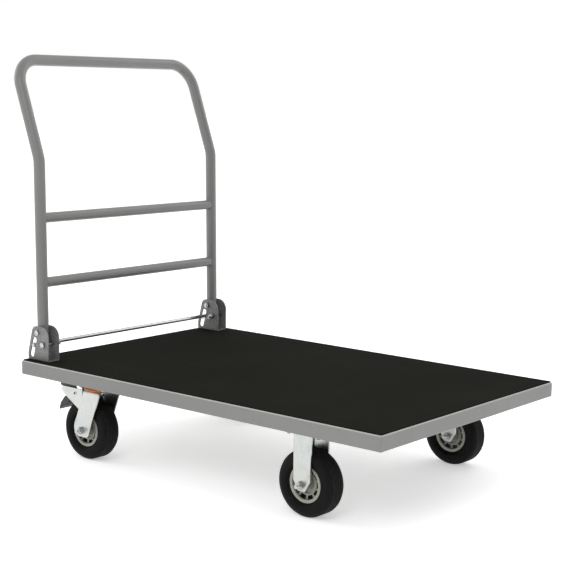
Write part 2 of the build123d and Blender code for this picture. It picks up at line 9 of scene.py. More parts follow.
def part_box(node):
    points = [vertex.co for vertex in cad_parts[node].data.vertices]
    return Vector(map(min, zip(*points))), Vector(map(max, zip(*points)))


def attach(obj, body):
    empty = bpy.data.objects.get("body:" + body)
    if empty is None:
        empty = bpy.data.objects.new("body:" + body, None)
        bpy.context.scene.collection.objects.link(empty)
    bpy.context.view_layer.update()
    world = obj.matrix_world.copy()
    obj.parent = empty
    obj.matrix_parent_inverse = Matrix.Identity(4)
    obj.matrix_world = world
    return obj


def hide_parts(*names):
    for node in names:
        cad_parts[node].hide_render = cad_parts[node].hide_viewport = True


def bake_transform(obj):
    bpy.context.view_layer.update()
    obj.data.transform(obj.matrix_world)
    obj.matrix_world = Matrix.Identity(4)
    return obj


# Flatbed platform truck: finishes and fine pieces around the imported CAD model.
# Metres, the floor at z = 0, +X to the front, +Z up.
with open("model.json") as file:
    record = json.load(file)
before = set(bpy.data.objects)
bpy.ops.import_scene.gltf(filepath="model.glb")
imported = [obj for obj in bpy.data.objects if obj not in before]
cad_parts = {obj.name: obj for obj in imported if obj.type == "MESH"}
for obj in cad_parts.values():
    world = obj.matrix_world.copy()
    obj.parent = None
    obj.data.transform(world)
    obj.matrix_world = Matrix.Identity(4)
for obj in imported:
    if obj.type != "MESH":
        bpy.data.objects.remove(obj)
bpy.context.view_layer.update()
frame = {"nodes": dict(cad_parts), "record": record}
nodes = frame["nodes"]
bodyOf = {node: body for body, members in frame["record"]["behaviour"]["bodies"].items()
          for node in members}
slotOf = {row["node"]: row["material_slot"] for row in frame["record"]["subparts"]}
sides = {"left": 1, "right": -1}
chance = random.Random(41)
print("frame loaded:", len(nodes), "nodes")


def middleOf(node):
    low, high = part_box(node)
    return (low + high) / 2


# Camera.
cameraSet = {"lens": 86.14, "azimuth": 39.268, "elevation": 8.253, "roll": 0.974,
             "distance": 3.3453, "sideways": 0.0135, "upwards": 0.206}


def towardsCamera(values):
    azimuth = math.radians(values["azimuth"])
    elevation = math.radians(values["elevation"])
    return Vector((math.sin(azimuth) * math.cos(elevation),
                   -math.cos(azimuth) * math.cos(elevation), math.sin(elevation)))


def placeCamera(values):
    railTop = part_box("side_rail_left")[1].z
    target = Vector((middleOf("side_rail_left").x, 0, railTop))
    azimuth = math.radians(values["azimuth"])
    roll = math.radians(values["roll"])
    back = towardsCamera(values)
    level = Vector((math.cos(azimuth), math.sin(azimuth), 0))
    upright = back.cross(level)
    right = math.cos(roll) * level + math.sin(roll) * upright
    up = math.cos(roll) * upright - math.sin(roll) * level
    data = bpy.data.cameras.new("camera")
    data.lens = values["lens"]
    data.sensor_width = 36
    data.clip_end = 100
    camera = bpy.data.objects.new("camera", data)
    bpy.context.scene.collection.objects.link(camera)
    place = target + back * values["distance"] + right * values["sideways"] + up * values["upwards"]
    camera.matrix_world = Matrix.Translation(place) @ Matrix((right, up, back)).transposed().to_4x4()
    bpy.context.scene.camera = camera


placeCamera(cameraSet)


# Shader helpers.
class Value:
    # One output socket. Sums with it add maths nodes to its material.
    def __init__(self, shader, socket):
        self.shader = shader
        self.socket = socket

    def maths(self, operation, first, second=0.0):
        return self.shader.node("ShaderNodeMath", {"operation": operation}, {0: first, 1: second})

    def __add__(self, other):
        return self.maths("ADD", self, other)

    def __radd__(self, other):
        return self.maths("ADD", other, self)

    def __sub__(self, other):
        return self.maths("SUBTRACT", self, other)

    def __rsub__(self, other):
        return self.maths("SUBTRACT", other, self)

    def __mul__(self, other):
        return self.maths("MULTIPLY", self, other)

    def __rmul__(self, other):
        return self.maths("MULTIPLY", other, self)

    def __truediv__(self, other):
        return self.maths("DIVIDE", self, other)

    def __rtruediv__(self, other):
        return self.maths("DIVIDE", other, self)

    def __pow__(self, other):
        return self.maths("POWER", self, other)

    def __rpow__(self, other):
        return self.maths("POWER", other, self)


class Shader:
    def __init__(self, tree):
        self.tree = tree
        tree.nodes.clear()

    def node(self, kind, settings=None, values=None, out=0):
        made = self.tree.nodes.new(kind)
        for key, setting in (settings or {}).items():
            setattr(made, key, setting)
        for key, value in (values or {}).items():
            if isinstance(value, Value):
                self.tree.links.new(value.socket, made.inputs[key])
            else:
                made.inputs[key].default_value = value
        return Value(self, made.outputs[out] if len(made.outputs) else None)

    def place(self):
        return self.node("ShaderNodeTexCoord", out="Object")

    def stretched(self, factors):
        return self.node("ShaderNodeVectorMath", {"operation": "MULTIPLY"},
                         {0: self.place(), 1: factors})

    def noise(self, scale, detail=3.0, rough=0.5, where=None, distort=0.0):
        return self.node("ShaderNodeTexNoise", None,
                         {"Vector": where or self.place(), "Scale": scale, "Detail": detail,
                          "Roughness": rough, "Distortion": distort})

    def cells(self, scale, feature="F1", where=None):
        return self.node("ShaderNodeTexVoronoi", {"feature": feature},
                         {"Vector": where or self.place(), "Scale": scale}, "Distance")

    def between(self, value, low, high, newLow=0.0, newHigh=1.0):
        return self.node("ShaderNodeMapRange", {"clamp": True},
                         {"Value": value, "From Min": low, "From Max": high, "To Min": newLow,
                          "To Max": newHigh})

    def blend(self, share, first, second):
        ends = [c if isinstance(c, Value) else (*c, 1.0) for c in (first, second)]
        return self.node("ShaderNodeMix", {"data_type": "RGBA"}, {0: share, 6: ends[0], 7: ends[1]}, 2)

    def attribute(self, name):
        return self.node("ShaderNodeAttribute", {"attribute_name": name}, None, "Fac")

    def upness(self):
        normal = self.node("ShaderNodeNewGeometry", out="Normal")
        return self.node("ShaderNodeSeparateXYZ", None, {0: normal}, 2)

    def height(self):
        return self.node("ShaderNodeSeparateXYZ", None, {0: self.place()}, 2)

    def bump(self, height, strength, distance, under=None):
        values = {"Height": height, "Strength": strength, "Distance": distance}
        if under:
            values["Normal"] = under
        return self.node("ShaderNodeBump", None, values)


class Finish(Shader):
    def __init__(self, name):
        self.material = bpy.data.materials.new(name)
        self.material.use_nodes = True
        super().__init__(self.material.node_tree)
        self.surface = self.tree.nodes.new("ShaderNodeBsdfPrincipled")
        output = self.tree.nodes.new("ShaderNodeOutputMaterial")
        self.tree.links.new(self.surface.outputs[0], output.inputs["Surface"])

    def feed(self, values):
        for name, value in values.items():
            target = self.surface.inputs[name]
            if isinstance(value, Value):
                self.tree.links.new(value.socket, target)
            else:
                target.default_value = value
        return self.material


finishes = {}

# Painted steel: powder coat of the deck frame and the handle.
# "worn" is the colour of worn paint on edges and also of the painted highlight along the deck's fold.
coatSet = {"shade": (0.184, 0.184, 0.179), "light": (0.242, 0.242, 0.236), "worn": (0.56, 0.56, 0.55),
           "dust": (0.31, 0.30, 0.285), "roughness": 0.38, "peelScale": 620.0, "peel": 0.00006,
           "grain": 0.1}
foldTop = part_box("side_rail_left")[1].z
# Painted highlight along the deck's folded top edge, laid in the worn colour for the light the rounded
# fold catches; then worn edges and dust: depths below and above the fold, and shares.
sheenAndWearSet = {"foldStart": 0.0032, "foldEnd": 0.0008, "fadeStart": 0.0004, "fadeEnd": 0.0008,
           "foldSheenShare": 0.8, "edgeShare": 0.4, "dustShare": 0.22}


def powderCoat(name, values):
    finish = Finish(name)
    cloud = finish.noise(2.6, 4.0, 0.55)
    speckle = finish.noise(1500.0, 2.0)
    mottle = finish.between(finish.noise(330.0, 3.0, 0.7), 0.35, 0.65, -1.0, 1.0) * values["grain"]
    mixed = finish.between(cloud, 0.35, 0.7, 0.1, 0.5) + finish.between(speckle, 0.45, 0.8, 0.0, 0.16)
    colour = finish.blend(mixed + mottle, values["shade"], values["light"])
    height = finish.height()
    # Painted highlight: the worn colour laid in a band just under the fold's top edge.
    foldSheen = finish.between(height, foldTop - sheenAndWearSet["foldStart"], foldTop - sheenAndWearSet["foldEnd"])
    foldSheen = foldSheen * finish.between(height, foldTop + sheenAndWearSet["fadeStart"], foldTop + sheenAndWearSet["fadeEnd"],
                                 sheenAndWearSet["foldSheenShare"], 0.0)
    colour = finish.blend(foldSheen, colour, values["worn"])
    patchy = finish.between(finish.noise(55.0, 5.0, 0.7), 0.5, 0.66)
    wear = finish.attribute("edgeWear") * patchy * sheenAndWearSet["edgeShare"]
    colour = finish.blend(wear, colour, values["worn"])
    patches = finish.noise(9.0, 5.0, 0.65)
    dust = finish.between(finish.upness(), 0.6, 1.0) * finish.between(patches, 0.4, 0.8)
    colour = finish.blend(dust * sheenAndWearSet["dustShare"], colour, values["dust"])
    scuff = finish.noise(30.0, 6.0, 0.75, finish.stretched((1.0, 0.35, 0.2)))
    roughness = values["roughness"] + finish.between(scuff, 0.3, 0.75, -0.06, 0.12) + dust * 0.12
    peel = finish.bump(finish.noise(values["peelScale"], 2.0), 0.5, values["peel"])
    broad = finish.bump(finish.noise(34.0, 2.0), 0.25, 0.00035, peel)
    return finish.feed({"Base Color": colour, "Roughness": roughness, "Normal": broad})


finishes["powder_coat"] = powderCoat("powder coat", coatSet)
bracketSet = {"shade": (0.150, 0.152, 0.150), "light": (0.285, 0.29, 0.285), "worn": (0.42, 0.42, 0.41),
              "dust": (0.32, 0.315, 0.30), "roughness": 0.52, "peelScale": 420.0, "peel": 0.0005,
              "grain": 0.75}
finishes["bracket_coat"] = powderCoat("textured coat", bracketSet)
slateSet = {"shade": (0.030, 0.036, 0.038), "light": (0.055, 0.064, 0.067), "worn": (0.30, 0.30, 0.30),
            "dust": (0.12, 0.12, 0.115), "roughness": 0.4, "peelScale": 620.0, "peel": 0.0001,
            "grain": 0.2}
finishes["brake_coat"] = powderCoat("slate coat", slateSet)

# Deck mat.
matSet = {"shade": (0.0070, 0.0074, 0.0053), "pale": (0.0126, 0.0130, 0.0098),
          "dust": (0.027, 0.026, 0.023), "pebble": 420.0, "depth": 0.0003}


def matFinish(values):
    finish = Finish("mat")
    pebble = finish.cells(values["pebble"], "SMOOTH_F1")
    grain = finish.noise(900.0, 3.0, 0.6)
    cloud = finish.between(finish.noise(3.2, 5.0, 0.6), 0.36, 0.7)
    colour = finish.blend(cloud * 0.5 + finish.between(pebble, 0.1, 0.7, 0.3, 0.0),
                          values["shade"], values["pale"])
    scrape = finish.noise(16.0, 7.0, 0.72, finish.stretched((0.25, 2.6, 1.0)), 0.4)
    marks = finish.between(scrape, 0.6, 0.78) * 0.3
    colour = finish.blend(marks, colour, values["dust"])
    roughness = finish.between(grain, 0.3, 0.7, 0.86, 0.98) - marks * 0.2
    low = finish.bump(grain, 0.35, 0.00012)
    normal = finish.bump(pebble, 0.7, values["depth"], low)
    return finish.feed({"Base Color": colour, "Roughness": roughness, "Normal": normal,
                        "Specular IOR Level": 0.035})


finishes["mat"] = matFinish(matSet)

# Plated and bare steel.
zincSet = {"cool": (0.50, 0.53, 0.53), "warm": (0.54, 0.55, 0.52), "dull": (0.30, 0.32, 0.32),
           "low": 0.26, "high": 0.46, "drag": (1.0, 1.0, 0.18), "fine": 260.0, "tarnish": 0.42}
brightSet = {"cool": (0.44, 0.46, 0.48), "warm": (0.50, 0.49, 0.47), "dull": (0.44, 0.44, 0.43),
             "low": 0.13, "high": 0.30, "drag": (1.0, 0.25, 1.0), "fine": 420.0, "tarnish": 0.35}
bareSet = {"cool": (0.44, 0.45, 0.46), "warm": (0.50, 0.47, 0.43), "dull": (0.20, 0.17, 0.15),
           "low": 0.32, "high": 0.55, "drag": (1.0, 1.0, 1.0), "fine": 500.0, "tarnish": 0.7}


def plated(name, values):
    finish = Finish(name)
    cloud = finish.between(finish.noise(14.0, 4.0, 0.6, None, 0.6), 0.38, 0.66)
    colour = finish.blend(cloud, values["cool"], values["warm"])
    grime = finish.between(finish.noise(38.0, 6.0, 0.72), 0.52, 0.74)
    spots = finish.between(finish.cells(210.0), 0.0, 0.13, 1.0, 0.0) * grime
    dull = (grime * 0.4 + spots * 0.5) * values["tarnish"]
    colour = finish.blend(dull, colour, values["dull"])
    drag = finish.noise(values["fine"], 4.0, 0.6, finish.stretched(values["drag"]))
    polish = finish.between(drag + grime * 0.3, 0.35, 0.95, values["low"], values["high"])
    rub = finish.attribute("edgeWear") * -0.06
    normal = finish.bump(drag, 0.22, 0.00005)
    normal = finish.bump(finish.noise(46.0, 2.0), 0.2, 0.0003, normal)
    return finish.feed({"Base Color": colour, "Roughness": polish + rub, "Normal": normal,
                        "Metallic": 1.0 - dull * 0.35})


finishes["zinc"] = plated("zinc plate", zincSet)
finishes["bright_steel"] = plated("bright plate", brightSet)
finishes["bare_steel"] = plated("bare steel", bareSet)

# Rubber and moulded plastic.
tyreSet = {"shade": (0.0026, 0.0026, 0.0030), "grey": (0.0075, 0.0073, 0.0071),
           "dust": (0.032, 0.030, 0.027)}


def tyreFinish(values):
    finish = Finish("tyre rubber")
    cloud = finish.between(finish.noise(48.0, 5.0, 0.65), 0.4, 0.72)
    colour = finish.blend(cloud * 0.6, values["shade"], values["grey"])
    tread = finish.between(finish.attribute("reach"), 0.93, 1.0)
    dust = tread * finish.between(finish.noise(120.0, 6.0, 0.75), 0.42, 0.7) * 0.4
    smear = finish.between(finish.noise(22.0, 6.0, 0.7), 0.6, 0.8) * 0.18
    colour = finish.blend(dust + smear, colour, values["dust"])
    grain = finish.noise(1300.0, 3.0, 0.6)
    roughness = finish.between(grain, 0.3, 0.7, 0.55, 0.72) + dust * 0.5 + cloud * 0.08
    normal = finish.bump(grain, 0.4, 0.00008)
    return finish.feed({"Base Color": colour, "Roughness": roughness, "Normal": normal,
                        "Specular IOR Level": 0.16})


finishes["tyre"] = tyreFinish(tyreSet)
rimSet = {"shade": (0.31, 0.315, 0.265), "pale": (0.375, 0.38, 0.325), "dirt": (0.10, 0.098, 0.085),
          "roughness": 0.46, "dirty": 0.4}
ringSet = {"shade": (0.56, 0.155, 0.035), "pale": (0.66, 0.22, 0.07), "dirt": (0.16, 0.07, 0.035),
           "roughness": 0.42, "dirty": 0.35}
pedalSet = {"shade": (0.017, 0.017, 0.018), "pale": (0.034, 0.034, 0.036), "dirt": (0.11, 0.105, 0.095),
            "roughness": 0.5, "dirty": 0.5}
windowShade = (0.004, 0.004, 0.004)


def moulded(name, values):
    finish = Finish(name)
    flow = finish.between(finish.noise(26.0, 3.0, 0.5, None, 1.2), 0.35, 0.7)
    colour = finish.blend(flow * 0.7, values["shade"], values["pale"])
    grime = finish.between(finish.noise(70.0, 6.0, 0.74), 0.5, 0.75)
    colour = finish.blend(grime * values["dirty"] * 0.6, colour, values["dirt"])
    rubbed = finish.attribute("edgeWear") * finish.between(finish.noise(90.0, 4.0), 0.4, 0.6)
    colour = finish.blend(rubbed * 0.35, colour, values["pale"])
    # Painted shade and dirt: the rim's window walls turn near black.
    colour = finish.blend(finish.attribute("inside"), colour, windowShade)
    grain = finish.noise(1100.0, 2.0)
    roughness = values["roughness"] + finish.between(grain, 0.3, 0.7, -0.05, 0.07) + grime * 0.14
    normal = finish.bump(grain, 0.3, 0.00006)
    return finish.feed({"Base Color": colour, "Roughness": roughness, "Normal": normal})


finishes["rim"] = moulded("wheel plastic", rimSet)
finishes["dust_ring"] = moulded("ring plastic", ringSet)
finishes["pedal"] = moulded("pedal plastic", pedalSet)
for node, piece in nodes.items():
    piece.data.materials.clear()
    piece.data.materials.append(finishes[slotOf[node]])
print("finishes made:", len(finishes))


# Mesh helpers.
def addPiece(name, shape, node, sharp=32.0, rides=True):
    bmesh.ops.recalc_face_normals(shape, faces=shape.faces[:])
    mesh = bpy.data.meshes.new(name)
    shape.to_mesh(mesh)
    shape.free()
    mesh.shade_smooth()
    mesh.set_sharp_from_angle(angle=math.radians(sharp))
    mesh.materials.append(finishes[slotOf[node]])
    piece = bpy.data.objects.new(name, mesh)
    bpy.context.scene.collection.objects.link(piece)
    even = piece.modifiers.new("even normals", "WEIGHTED_NORMAL")
    even.keep_sharp = True
    if rides:
        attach(piece, bodyOf[node])
    return piece


def softened(node, width, corner=28.0, segments=2):
    # The CAD node's own shape, its flats cleaned and its hard edges rounded.
    shape = bmesh.new()
    shape.from_mesh(nodes[node].data)
    bmesh.ops.remove_doubles(shape, verts=shape.verts[:], dist=3e-6)
    bmesh.ops.dissolve_limit(shape, angle_limit=math.radians(0.4), verts=shape.verts[:],
                             edges=shape.edges[:], delimit={"NORMAL"})
    hard = [edge for edge in shape.edges
            if len(edge.link_faces) == 2 and edge.calc_face_angle(0.0) > math.radians(corner)]
    worn = shape.faces.layers.float.new("edgeWear")
    made = bmesh.ops.bevel(shape, geom=hard, offset=width, offset_type="OFFSET", segments=segments,
                           profile=0.5, affect="EDGES", clamp_overlap=True)
    for face in made["faces"]:
        face[worn] = 1.0
    piece = addPiece(node + "_fine", shape, node)
    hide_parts(node)
    return piece


def lattice(rows, closed=False):
    # Skin between rows of points. Each row is a closed ring; the ends are capped unless closed.
    shape = bmesh.new()
    rings = [[shape.verts.new(point) for point in row] for row in rows]
    pairs = list(zip(rings, rings[1:])) + ([(rings[-1], rings[0])] if closed else [])
    for first, second in pairs:
        count = len(first)
        for index in range(count):
            after = (index + 1) % count
            shape.faces.new((first[index], first[after], second[after], second[index]))
    if not closed:
        shape.faces.new(rings[0])
        shape.faces.new(rings[-1])
    return shape


def merged(shapes):
    whole = bmesh.new()
    for shape in shapes:
        mesh = bpy.data.meshes.new("part")
        shape.to_mesh(mesh)
        shape.free()
        whole.from_mesh(mesh)
        bpy.data.meshes.remove(mesh)
    return whole


def turned(profile, axis, centre, steps, closed=True):
    # Revolve (along, radius) points about a line through centre, along Y or Z.
    rows = []
    for along, radius in profile:
        ring = []
        for step in range(steps):
            turn = 2 * math.pi * step / steps
            first, second = radius * math.cos(turn), radius * math.sin(turn)
            offset = (first, along, second) if axis == "Y" else (first, second, along)
            ring.append(centre + Vector(offset))
        rows.append(ring)
    return lattice(rows, closed)


def wire(path, radius, steps=12, closed=False):
    # Round wire along a list of points.
    rows = []
    count = len(path)
    side = None
    for index, point in enumerate(path):
        before = path[index - 1] if closed or index else point
        after = path[(index + 1) % count] if closed or index < count - 1 else point
        along = (after - before).normalized()
        if side is None:
            side = along.orthogonal().normalized()
        side = (side - along * side.dot(along)).normalized()
        across = along.cross(side)
        rows.append([point + (side * math.cos(2 * math.pi * k / steps)
                              + across * math.sin(2 * math.pi * k / steps)) * radius
                     for k in range(steps)])
    return lattice(rows, closed)


def islandsOf(node):
    # The separate solids of a node, each as a list of its points, in the order of the mesh, so that
    # each solid gets the same random turn in every run.
    shape = bmesh.new()
    shape.from_mesh(nodes[node].data)
    bmesh.ops.remove_doubles(shape, verts=shape.verts[:], dist=3e-6)
    waiting = dict.fromkeys(shape.verts)
    found = []
    while waiting:
        queue = [next(iter(waiting))]
        del waiting[queue[0]]
        members = []
        while queue:
            vertex = queue.pop()
            members.append(vertex.co.copy())
            for edge in vertex.link_edges:
                other = edge.other_vert(vertex)
                if other in waiting:
                    del waiting[other]
                    queue.append(other)
        found.append(members)
    shape.free()
    return found


# Deck frame, mat, brackets and pressed pieces.
softSet = {"rail": 0.0005, "sheet": 0.0005, "mat": 0.0009, "bracket": 0.0005, "fork": 0.0005,
           "plate": 0.0005, "rim": 0.0006, "lever": 0.0004, "pin": 0.0004}
softNodes = {
    "rail": ["side_rail_left", "side_rail_right", "end_rail_front", "end_rail_rear",
             "caster_rail_front", "caster_rail_rear", "stiffeners"],
    "sheet": ["deck_sheet"],
    "mat": ["deck_mat"],
    "bracket": ["handle_bracket_left", "handle_bracket_right"],
    "fork": ["fork_front_left", "fork_front_right", "fork_rear_left", "fork_rear_right"],
    "plate": ["swivel_plate_left", "swivel_plate_right"],
    "rim": [f"rim_{end}_{side}" for end in ("front", "rear") for side in sides],
    "lever": ["brake_lever_left", "brake_lever_right", "brake_pedal_left", "brake_pedal_right"],
    "pin": ["brake_pin_left", "brake_pin_right", "kingpin_left", "kingpin_right", "release_rod",
            "release_rod_clips", "pivot_bushes", "handle_tube", "handle_rung_upper",
            "handle_rung_lower"]
    + [f"bearings_{end}_{side}" for end in ("front", "rear") for side in sides],
}
darkSet = {"low": 0.0255, "high": 0.0362, "depth": 0.0118, "share": 0.94}


def darkenWindows(piece, node, values):
    # Painted shade and dirt on the walls of the wheel's windows, which lie in deep shade.
    centre = middleOf(node)
    mesh = piece.data
    inside = mesh.attributes.new("inside", "FLOAT", "FACE")
    for face in mesh.polygons:
        out = math.hypot(face.center.x - centre.x, face.center.z - centre.z)
        wall = abs(face.normal.y) < 0.5 and values["low"] < out < values["high"]
        hidden = wall and abs(face.center.y - centre.y) < values["depth"]
        inside.data[face.index].value = values["share"] if hidden else 0.0


for kind, members in softNodes.items():
    for node in members:
        piece = softened(node, softSet[kind])
        if kind == "rim":
            darkenWindows(piece, node, darkSet)
print("pressed pieces softened:", sum(len(members) for members in softNodes.values()))

# Weld beads where the rungs meet the legs.
weldSet = {"bead": 0.0019, "ripple": 0.00035, "ripples": 26, "steps": 156, "sink": 0.0004,
           "around": 12}
tubePoints = [vertex.co for vertex in nodes["handle_tube"].data.vertices]
barEnd = min(abs(point.y) for point in tubePoints) + 0.0001
barPoints = [point for point in tubePoints if abs(point.y) < barEnd]
tubeRadius = (max(point.z for point in barPoints) - min(point.z for point in barPoints)) / 2
upperRung = middleOf("handle_rung_upper")
lowerRung = middleOf("handle_rung_lower")
footX, footZ = lowerRung.x, lowerRung.z
kneeX, kneeZ = upperRung.x, upperRung.z


def weldBead(node, side, values):
    low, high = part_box(node)
    centre = (low + high) / 2
    rungRadius = (high.z - low.z) / 2
    legMiddle = (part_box("handle_tube")[1].y - tubeRadius) * side
    lean = math.atan2(footX - kneeX, kneeZ - footZ)
    rows = []
    for step in range(values["steps"]):
        turn = 2 * math.pi * step / values["steps"]
        across = rungRadius * math.cos(turn)
        upward = rungRadius * math.sin(turn)
        depth = math.sqrt(tubeRadius ** 2 - across ** 2)
        place = Vector((centre.x + across * math.cos(lean) - upward * math.sin(lean),
                        legMiddle - side * depth,
                        centre.z + upward * math.cos(lean) + across * math.sin(lean)))
        outward = Vector((math.cos(turn), -side * 0.9, math.sin(turn))).normalized()
        along = Vector((-math.sin(turn), 0, math.cos(turn)))
        inward = outward.cross(along)
        swell = values["bead"] + values["ripple"] * abs(math.sin(turn * values["ripples"] / 2))
        around = values["around"]
        rows.append([place + (outward * math.cos(2 * math.pi * k / around)
                              + inward * math.sin(2 * math.pi * k / around)) * swell
                     - outward * values["sink"] for k in range(around)])
    return lattice(rows, True)


for node in ("handle_rung_upper", "handle_rung_lower"):
    beads = [weldBead(node, side, weldSet) for side in sides.values()]
    addPiece(node + "_welds", merged(beads), node, 60.0)
print("welds made")

# Tyres.
tyreFine = {"steps": 180, "groove": 0.0016, "grooveDepth": 0.0016, "grooves": (0.008, 0.0),
            "ring": 0.00045}


def tyrePiece(node, values):
    low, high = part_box(node)
    centre = (low + high) / 2
    bead = min(math.hypot(vertex.co.x - centre.x, vertex.co.z - centre.z)
               for vertex in nodes[node].data.vertices)
    half = (high.y - low.y) / 2
    outer = (high.z - low.z) / 2
    mm = 0.001
    flank = half - values["ring"]
    side = [(20 * mm, bead), (20 * mm, bead + 2.6 * mm), (21.2 * mm, bead + 4.0 * mm),
            (25.6 * mm, bead + 6.6 * mm), (flank, bead + 8.6 * mm), (flank, bead + 9.6 * mm),
            (half, bead + 10.0 * mm), (half, bead + 11.0 * mm), (flank, bead + 11.4 * mm),
            (flank - 0.2 * mm, outer - 17.6 * mm), (flank, outer - 17.2 * mm), (half, outer - 16.8 * mm),
            (half, outer - 14.9 * mm), (half - 0.5 * mm, outer - 12.0 * mm),
            (half - 1.7 * mm, outer - 8.6 * mm), (half - 3.3 * mm, outer - 5.6 * mm),
            (half - 4.0 * mm, outer - 5.2 * mm), (half - 5.2 * mm, outer - 3.2 * mm),
            (half - 7.2 * mm, outer - 2.3 * mm), (half - 8.6 * mm, outer - 2.1 * mm),
            (half - 8.9 * mm, outer - 1.6 * mm), (half - 9.8 * mm, outer - 0.5 * mm),
            (half - 11.4 * mm, outer)]
    gap = values["groove"] / 2
    deep = outer - values["grooveDepth"]
    for spot in values["grooves"]:
        side += [(spot + gap + 0.2 * mm, outer), (spot + gap, outer - 0.2 * mm), (spot + gap, deep)]
        if spot:
            side += [(spot - gap, deep), (spot - gap, outer - 0.2 * mm), (spot - gap - 0.2 * mm, outer)]
    profile = side + [(-along, radius) for along, radius in reversed(side)]
    shape = turned(profile, "Y", centre, values["steps"])
    reach = shape.verts.layers.float.new("reach")
    for vertex in shape.verts:
        offset = vertex.co - centre
        vertex[reach] = math.hypot(offset.x, offset.z) / outer
    piece = addPiece(node + "_fine", shape, node, 40.0)
    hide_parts(node)


for end in ("front", "rear"):
    for name in sides:
        tyrePiece(f"tyre_{end}_{name}", tyreFine)
print("tyres turned")

# Dust rings over the swivel bearings.
ringFine = {"steps": 120, "lip": 0.0007}


def ringPiece(node, values):
    low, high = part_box(node)
    centre = (low + high) / 2
    centre.z = low.z
    outer = (high.x - low.x) / 2
    bore = min(math.hypot(vertex.co.x - centre.x, vertex.co.y - centre.y)
               for vertex in nodes[node].data.vertices)
    tall = high.z - low.z
    lip = values["lip"]
    profile = [(0, bore), (0, outer - 0.0008), (0.0006, outer), (tall * 0.34, outer),
               (tall * 0.42, outer - lip), (tall * 0.54, outer - lip), (tall * 0.60, outer - 0.0003),
               (tall * 0.74, outer - 0.0009), (tall * 0.90, outer - 0.0022), (tall, outer - 0.0044),
               (tall, bore + 0.0006), (tall - 0.0006, bore)]
    piece = addPiece(node + "_fine", turned(profile, "Z", centre, values["steps"]), node, 40.0)
    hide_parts(node)


for name in sides:
    ringPiece("dust_ring_" + name, ringFine)
print("dust rings turned")

# Bolts and nuts, rebuilt with bevelled heads and real threads.
# "corner" is a hexagon's reach from its middle as a share of its flats. The limits tell a shank's
# points from a head's, as shares of the flats too. "face" is the round face on a head.
boltFine = {"steps": 60, "pitch": 0.16, "threadDepth": 0.6, "washer": 0.00035, "thread": 0.0145,
            "shankSteps": 48, "corner": 0.575, "shankLimit": 0.42, "headLimit": 0.46, "face": 0.94,
            "chamfer": 62.0}
boltNodes = ["bracket_screws", "pivot_bolts", "stop_bolts", "caster_bolts", "axle_bolts_front",
             "axle_bolt_rear_left", "axle_bolt_rear_right"]
nutNodes = ["bracket_nuts", "pivot_nuts", "stop_nuts", "caster_nuts", "axle_nuts_front",
            "axle_nut_rear_left", "axle_nut_rear_right"]


def readSolid(points, longWay):
    low = Vector(min(point[k] for point in points) for k in range(3))
    high = Vector(max(point[k] for point in points) for k in range(3))
    size = high - low
    order = sorted(range(3), key=lambda k: size[k])
    axis = order[-1] if longWay else order[0]
    return low, high, axis


def fastenerFrame(axis, way, seat, centre, turn):
    up = Vector((0, 0, 0))
    up[axis] = way
    first = Vector((0, 0, 0))
    first[(axis + 1) % 3] = 1
    second = up.cross(first)
    origin = centre.copy()
    origin[axis] = seat
    spun = first * math.cos(turn) + second * math.sin(turn)
    return Matrix.Translation(origin) @ Matrix((spun, up.cross(spun), up)).transposed().to_4x4()


def hexRadius(angle, flats):
    folded = (angle + math.pi / 6) % (math.pi / 3) - math.pi / 6
    return flats / 2 / math.cos(folded + (math.pi / 6 if folded < 0 else -math.pi / 6))


def ringAt(level, radiusAt, steps):
    return [Vector((radiusAt(2 * math.pi * k / steps) * math.cos(2 * math.pi * k / steps),
                    radiusAt(2 * math.pi * k / steps) * math.sin(2 * math.pi * k / steps), level))
            for k in range(steps)]


def headShape(flats, height, values, bore=None):
    steps = values["steps"]
    inner = flats / 2 * values["face"]
    slope = math.tan(math.radians(values["chamfer"]))
    both = bore is not None
    rows = []
    if not both:
        rows.append(ringAt(0.0, lambda angle: inner, steps))
        rows.append(ringAt(values["washer"], lambda angle: inner, steps))
    start = 0.0 if both else values["washer"]
    for share in (0.0, 0.05, 0.1, 0.16, 0.24, 0.5, 0.76, 0.84, 0.9, 0.95, 1.0):
        level = start + (height - start) * share
        limit = inner + (height - level) * slope
        if both:
            limit = min(limit, inner + level * slope)
        rows.append(ringAt(level, lambda angle: min(hexRadius(angle, flats), limit), steps))
    if both:
        for level, radius in ((height, bore * 1.12), (height - bore * 0.12, bore), (bore * 0.12, bore),
                              (0.0, bore * 1.12)):
            rows.append(ringAt(level, lambda angle: radius, steps))
        return lattice(rows, True)
    for share, drop in ((0.80, 0.0), (0.70, 0.0003), (0.1, 0.00045)):
        rows.append(ringAt(height - drop, lambda angle: inner * share, steps))
    return lattice(rows)


def shankShape(radius, length, values):
    steps = values["shankSteps"]
    pitch = radius * 2 * values["pitch"]
    depth = pitch * values["threadDepth"]
    threadStart = max(length - values["thread"], length * 0.2)
    rows = [ringAt(0.0, lambda angle: radius, steps), ringAt(-threadStart, lambda angle: radius, steps)]
    count = int((length - threadStart) / pitch * 8)
    for index in range(1, count + 1):
        level = threadStart + (length - threadStart) * index / count
        fade = min(1.0, index / 8.0)
        tip = min(1.0, (length - level) / (depth * 1.2))

        def radiusAt(angle):
            phase = (level / pitch + angle / (2 * math.pi)) % 1.0
            tooth = abs(phase * 2 - 1)
            cut = radius - depth * fade * min(1.0, max(0.0, 1.25 * tooth - 0.1))
            return min(cut, radius - depth * (1 - tip))
        rows.append(ringAt(-level, radiusAt, steps))
    return lattice(rows)


